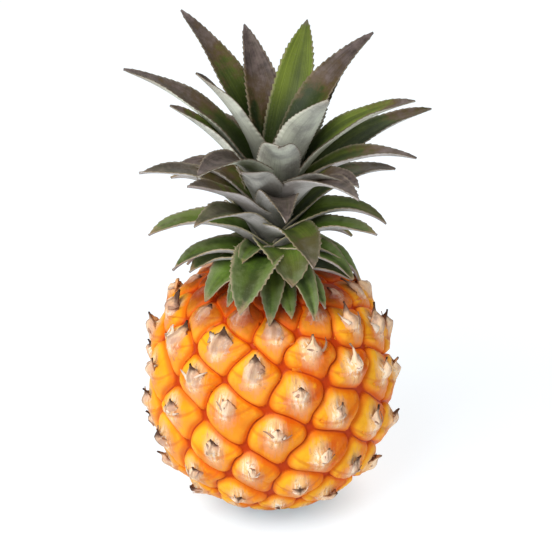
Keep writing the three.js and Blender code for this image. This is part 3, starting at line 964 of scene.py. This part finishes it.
def leaf_points(n, rule, rows, flat):
    """Every vertex of one leaf, from its place on the flat grid."""
    s, middle, side, along, face = middle_line(rule, rows)
    row = np.rint((flat[:, 1] + 0.5) * rows).astype(int)
    w = flat[:, 0] * 2
    t = s[row]
    half = rule["half"] * (1 - rule["neck"] * (1 - t) ** 3) * (1 - t ** rule["taper"]) + 0.08
    curl = 1.25 - 0.75 * smooth(t, 0.0, 0.6)
    fold = 0.36 + 0.22 * (1 - smooth(t, 0.0, 0.3))
    waves = np.sin(t * (7 + 4 * draw(n, 6)) * math.pi / 2 + 6 * draw(n, 7))
    ripple = 0.35 * waves * np.sign(w) * w * w
    across = half * np.sin(w * curl) / np.sin(curl)
    lift = fold * half * (1 - np.cos(w * curl)) / (1 - np.cos(curl)) + ripple
    edge = (np.abs(w) > 0.99) & (t > 0.1) & (t < 0.97)
    spine = np.where(edge, SPINE_STEPS[row % 3], 0) * (0.75 + 0.5 * draw(n + row * 1.3, 8))
    spine = spine * SPINE_SIZE * (0.5 if is_short(n) else 1.0) * (1 - 0.5 * smooth(t, 0.6, 1.0))
    across = across + np.sign(w) * spine
    points = middle[row] - side[row] * across[:, None] + face[row] * lift[:, None]
    points = points + along[row] * (0.9 * spine)[:, None]
    return lift_off_fruit(points, FRUIT_CLEARANCE)


def leaf_thickness(flat):
    """Share of the full thickness: thick at the base and the middle, thin at edge and tip."""
    w, t = np.abs(flat[:, 0] * 2), flat[:, 1] + 0.5
    return np.clip((1 - 0.55 * t) * (1 - 0.7 * w ** 2.5), 0.16, 1)


leaf_copies = []
for n in range(FIRST_HEART_LEAF + HEART_LEAVES):
    rule = leaf_rule(n)
    rows = 3 * max(4, round(rule["length"] / SPINE_SPACING))
    leaf = grid_tile(LEAF_COLUMNS, rows)
    flat = flat_places(leaf)
    leaf.name = f"leaf_{n}"
    place(leaf.data, leaf_points(n, rule, rows, flat))
    age = COVER_AGE if LEAF_COUNT <= n < FIRST_HEART_LEAF else min(1, n / LEAF_COUNT)
    brown_from = BROWN_FROM.get(n, 0.45 + 0.4 * draw(n, 135))
    paint_map(leaf.data, "place", flat + 0.5)
    paint_map(leaf.data, "luck", [draw(n, 134), age])
    paint_value(leaf.data, "brown_from", np.full(len(flat), brown_from))
    group = leaf.vertex_groups.new(name="thickness")
    for index, share in enumerate(leaf_thickness(flat)):
        group.add([index], float(share), "REPLACE")
    leaf_copies.append(leaf)
print("leaves:", sum(len(leaf.data.polygons) for leaf in leaf_copies), "faces before thickening")

# %% [markdown]
# The upper face is nearly black-green at its base, a painted shade deep in the crown, then green,
# and purple-brown towards the point, with a pale edge. The low leaves are fresher, with a grey sheen
# and a tan tip. The underside is pale grey, with fine scales in lines along the leaf, and painted
# dark near its base as shade.
# The finishes read how far along and across the leaf a place is, and how young the leaf is.

# %% Upper face of the leaves
def leaf_maps(start):
    """What both faces of a leaf read: its two maps, the place on the part, and parts of them."""
    spot, luck = start.uv_map("place"), start.uv_map("luck")
    along, across = spot.part("Y"), abs(spot.part("X") * 2 - 1)
    return spot, luck, start.body(), along, across, luck.part("X"), luck.part("Y")


upper_paint, shader, start = new_finish("leaf_upper")
spot, luck, body, along, across, chance, age = leaf_maps(start)
broad = body.noise(90, 3.0)
fine = body.noise(1200, 3.0, 0.6)
stripes = spot.times(34.0, 1.6, 1.0).shifted(luck.times(40, 40, 0)).noise(1.0, 3.0)
mottle = body.noise(260, 3.0, 0.6)
low_leaf = 1 - age.between(0.25, 0.55)
bands = spot.times(3.0, 0.7, 1.0).shifted(luck.times(60, 60, 0)).noise(1.0, 1.0)
green = (broad * 0.6 + bands * 1.1 + chance * 0.3 - 0.6).between(0.0, 0.9)
green = green.to((42, 54, 14), (124, 140, 48))
green = (stripes.between(0.35, 0.75) * 0.5).to(green, (30, 46, 8))
fresh = (bands * 0.8 + broad * 0.6 + (mottle - 0.5) * 0.4).between(0.50, 0.90)
fresh = fresh.to((52, 72, 22), (92, 128, 34))
green = (low_leaf * 0.75).to(green, fresh)
# painted shade: the base of each leaf, deep in the crown, is painted nearly black-green, further up on
# the young leaves.
base_shade = 1 - (along - age.between(0.60, 0.75) * 0.28).between(0.00, 0.38)
green = (base_shade * 0.8).to(green, (20, 38, 6))
sheen = across * 0.6 + along * 0.5 + (mottle - 0.5) * 0.9 + (broad - 0.5) * 0.5
green = (sheen.between(0.4, 1.0) * low_leaf * 0.5).to(green, (136, 148, 106))
dry = (along - start.attribute("brown_from")) * 3.2
dry = dry + (broad - 0.5) * 1.6 + (mottle - 0.5) * 1.6 + (bands - 0.5) * 0.8
purple = (stripes * 0.6 + mottle * 0.9).between(0.45, 1.05).to((50, 38, 42), (112, 96, 92))
purple = dry.between(0.0, 1.0).to((92, 70, 42), purple)
green = (dry.between(-0.3, 0.4) * (0.92 - low_leaf * 0.75)).to(green, purple)
dead = (along + (mottle - 0.5) * 0.25 + low_leaf * 0.03).between(0.90, 1.02)
green = (dead * 0.75).to(green, low_leaf.to((112, 100, 98), (176, 142, 106)))
edge = (across + (mottle - 0.5) * 0.2).between(0.86, 1.0)
green = (edge * (0.4 + low_leaf * 0.3)).to(green, (164, 148, 122))
green = (fine.between(0.5, 0.8) * 0.12).to(green, (150, 150, 130))
wire(shader, Base_Color=green, Roughness=0.46 + fine * 0.2, Specular_IOR_Level=0.3,
     Normal=(stripes + fine * 0.3).bump(0.35, 0.0003))
print("upper face:", len(upper_paint.node_tree.nodes), "nodes")

# %% Underside and margin of the leaves
under_paint, shader, start = new_finish("leaf_under")
spot, luck, body, along, across, chance, age = leaf_maps(start)
broad = body.noise(90, 3.0)
fine = body.noise(1500, 3.0, 0.6)
stripes = spot.times(60.0, 1.6, 1.0).shifted(luck.times(40, 40, 0)).noise(1.0, 2.0)
pale = age.between(0.55, 0.75).to((208, 200, 198), (220, 222, 204))
grey = (broad * 1.4 + chance * 0.3 - 0.3).between(0.1, 0.7).to((138, 134, 130), pale)
grey = (stripes.between(0.45, 0.75) * 0.4).to(grey, (128, 130, 114))
grey = (fine.between(0.45, 0.75) * 0.3).to(grey, (238, 238, 230))
shade = 1 - (along - age.between(0.80, 0.84) * 0.2).between(0.02, 0.50)
grey = (shade * 0.8).to(grey, (78, 80, 66))
brown = (along + (broad - 0.5) * 0.6 + (chance - 0.5) * 0.3).between(0.70, 1.05)
grey = (brown * 0.6).to(grey, (118, 92, 84))
grey = (across.between(0.9, 1.0) * 0.4).to(grey, (150, 134, 118))
wire(shader, Base_Color=grey, Roughness=0.62, Specular_IOR_Level=0.3,
     Normal=(stripes + fine * 0.4).bump(0.4, 0.0003))

margin_paint, shader, start = new_finish("leaf_margin")
rim_tone = start.uv_map("place").part("Y").between(0.1, 0.9)
rim_tone = rim_tone.to((196, 188, 146), (150, 130, 100))
rim_tone = start.uv_map("luck").part("Y").between(0.3, 0.6).to(rim_tone, (98, 86, 68))
wire(shader, Base_Color=rim_tone, Roughness=0.6)
print("leaf finishes done")

# %% Thicken and finish the leaves
leaves = joined(leaf_copies, "crown_leaves")
cover(leaves, upper_paint, under_paint, margin_paint)
thickened(leaves, LEAF_THICKNESS, vertex_group="thickness", thickness_vertex_group=0.0,
          material_offset=1, material_offset_rim=2)
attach(leaves, "root")
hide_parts("crown")
print("crown leaves:", len(leaves.data.polygons), "faces")

# %% [markdown]
# ## The stem inside the crown
# Between the leaf bases a little of the stem shows. A leaning cylinder would be too thick at its
# top. So it starts as a circle that is extruded and scaled ring by ring, and is then sheared, so
# that its foot lies level on the fruit.

# %% Stem
STEM_RINGS = [(9.4, 0), (7.0, 5), (5.6, 14), (5.4, 24), (5.0, 34), (4.0, STEM_LENGTH)]
bpy.ops.object.select_all(action="DESELECT")
bpy.ops.mesh.primitive_circle_add(vertices=40, radius=STEM_RINGS[0][0] * MM, fill_type="NGON")
stem = bpy.context.active_object
stem.name = "crown_stem"
bpy.ops.object.mode_set(mode="EDIT")
bpy.ops.mesh.select_all(action="SELECT")
for (last_radius, last_z), (radius, z) in zip(STEM_RINGS, STEM_RINGS[1:]):
    bpy.ops.mesh.extrude_region_move(TRANSFORM_OT_translate={"value": (0, 0, (z - last_z) * MM)})
    share = radius / last_radius
    bpy.ops.transform.resize(value=(share, share, 1), center_override=(0, 0, z * MM))
bpy.ops.mesh.select_all(action="SELECT")
bpy.ops.mesh.normals_make_consistent(inside=False)
bpy.ops.object.mode_set(mode="OBJECT")
for vertex in stem.data.vertices:
    vertex.co.x += math.tan(CROWN_LEAN) * vertex.co.z
    vertex.co.z += CROWN_Z * MM
bpy.ops.object.shade_smooth_by_angle(angle=math.radians(40))
stem_paint, shader, start = new_finish("pale_stem")
body = start.body()
streaks = body.times(1, 1, 0.15).noise(700, 3.0)
pith = streaks.between(0.35, 0.7).to((96, 110, 62), (50, 62, 30))
wire(shader, Base_Color=pith, Roughness=0.7)
cover(stem, stem_paint)
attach(stem, "root")
print("stem:", len(stem.data.polygons), "faces")

# %% [markdown]
# ## Floor, light and camera
# The fruit stands on a plain white floor, a hair lower than its base, so that the two don't
# share a plane. The floor gives out a little light, so that it stays white, and less of it where
# the fruit stands, which paints its shadow there. One broad lamp stands high at the front left, a
# weaker one fills from the right, and a third stands behind. The camera looks down from far off,
# with a long lens, so the fruit is hardly distorted.

# %% Floor and light
FLOOR_DROP = 0.2 * MM
SHADE_PLACE = (0.002, -0.008)
SHADE_REACH = (0.010, 0.038)
LAMP_AIM = (0, 0, 0.09)
SKY_LIGHT = 0.22
bpy.ops.object.select_all(action="DESELECT")
bpy.ops.mesh.primitive_plane_add(size=6, location=(0, 0, -FLOOR_DROP))
floor = bpy.context.active_object
floor.name = "floor"
floor_paint, shader, start = new_finish("pale_floor")
body = start.body()
# painted shadow: the floor's glow is dimmer round the place where the fruit stands.
aside, ahead = body.part("X") - SHADE_PLACE[0], body.part("Y") - SHADE_PLACE[1]
glow_with_painted_shadow = ((aside * aside + ahead * ahead) ** 0.5).between(*SHADE_REACH)
glow_with_painted_shadow = glow_with_painted_shadow.to((172, 186, 194), (255, 255, 255))
wire(shader, Base_Color=tone(136, 150, 160), Roughness=0.9, Specular_IOR_Level=0.0,
     Emission_Color=glow_with_painted_shadow, Emission_Strength=0.8)
cover(floor, floor_paint)


def lamp(name, place, size, power):
    """A square lamp that faces the part: its size in metres and its power in watts."""
    bpy.ops.object.light_add(type="AREA", location=place)
    light = bpy.context.active_object
    light.name = name
    light.data.size = size
    light.data.energy = power
    light.rotation_euler = (Vector(LAMP_AIM) - Vector(place)).to_track_quat("-Z", "Y").to_euler()


lamp("key_lamp", (-0.75, -0.9, 1.15), 1.2, 28)
lamp("fill_lamp", (1.0, -0.8, 0.6), 0.9, 3)
lamp("back_lamp", (0.3, 1.1, 1.2), 0.9, 8)
sky = bpy.data.worlds.new("sky")
scene.world = sky
sky.use_nodes = True
wire(sky.node_tree.nodes["Background"], Color=(1, 1, 1, 1), Strength=SKY_LIGHT)
scene.view_settings.view_transform = "Standard"

# %% Camera
CAMERA_PLACE = Vector((0, -1.04062, 0.57780))
CAMERA_AIM = Vector((0.00367, 0.01966, 0.08125))
CAMERA_ROLL = 0.03
CAMERA_LENS = 194.94
CAMERA_SENSOR = 36
CAMERA_FAR = 20
away = (CAMERA_PLACE - CAMERA_AIM).normalized()
level_right = Vector((0, 0, 1)).cross(away).normalized()
level_up = away.cross(level_right)
right = level_right * math.cos(CAMERA_ROLL) - level_up * math.sin(CAMERA_ROLL)
up = level_right * math.sin(CAMERA_ROLL) + level_up * math.cos(CAMERA_ROLL)
camera = bpy.data.objects.new("camera", bpy.data.cameras.new("camera"))
scene.collection.objects.link(camera)
camera.matrix_world = Matrix.Translation(CAMERA_PLACE) @ Matrix((right, up, away)).transposed().to_4x4()
camera.data.lens = CAMERA_LENS
camera.data.sensor_width = CAMERA_SENSOR
camera.data.clip_end = CAMERA_FAR
scene.camera = camera
print("camera:", [round(x, 3) for x in camera.location])
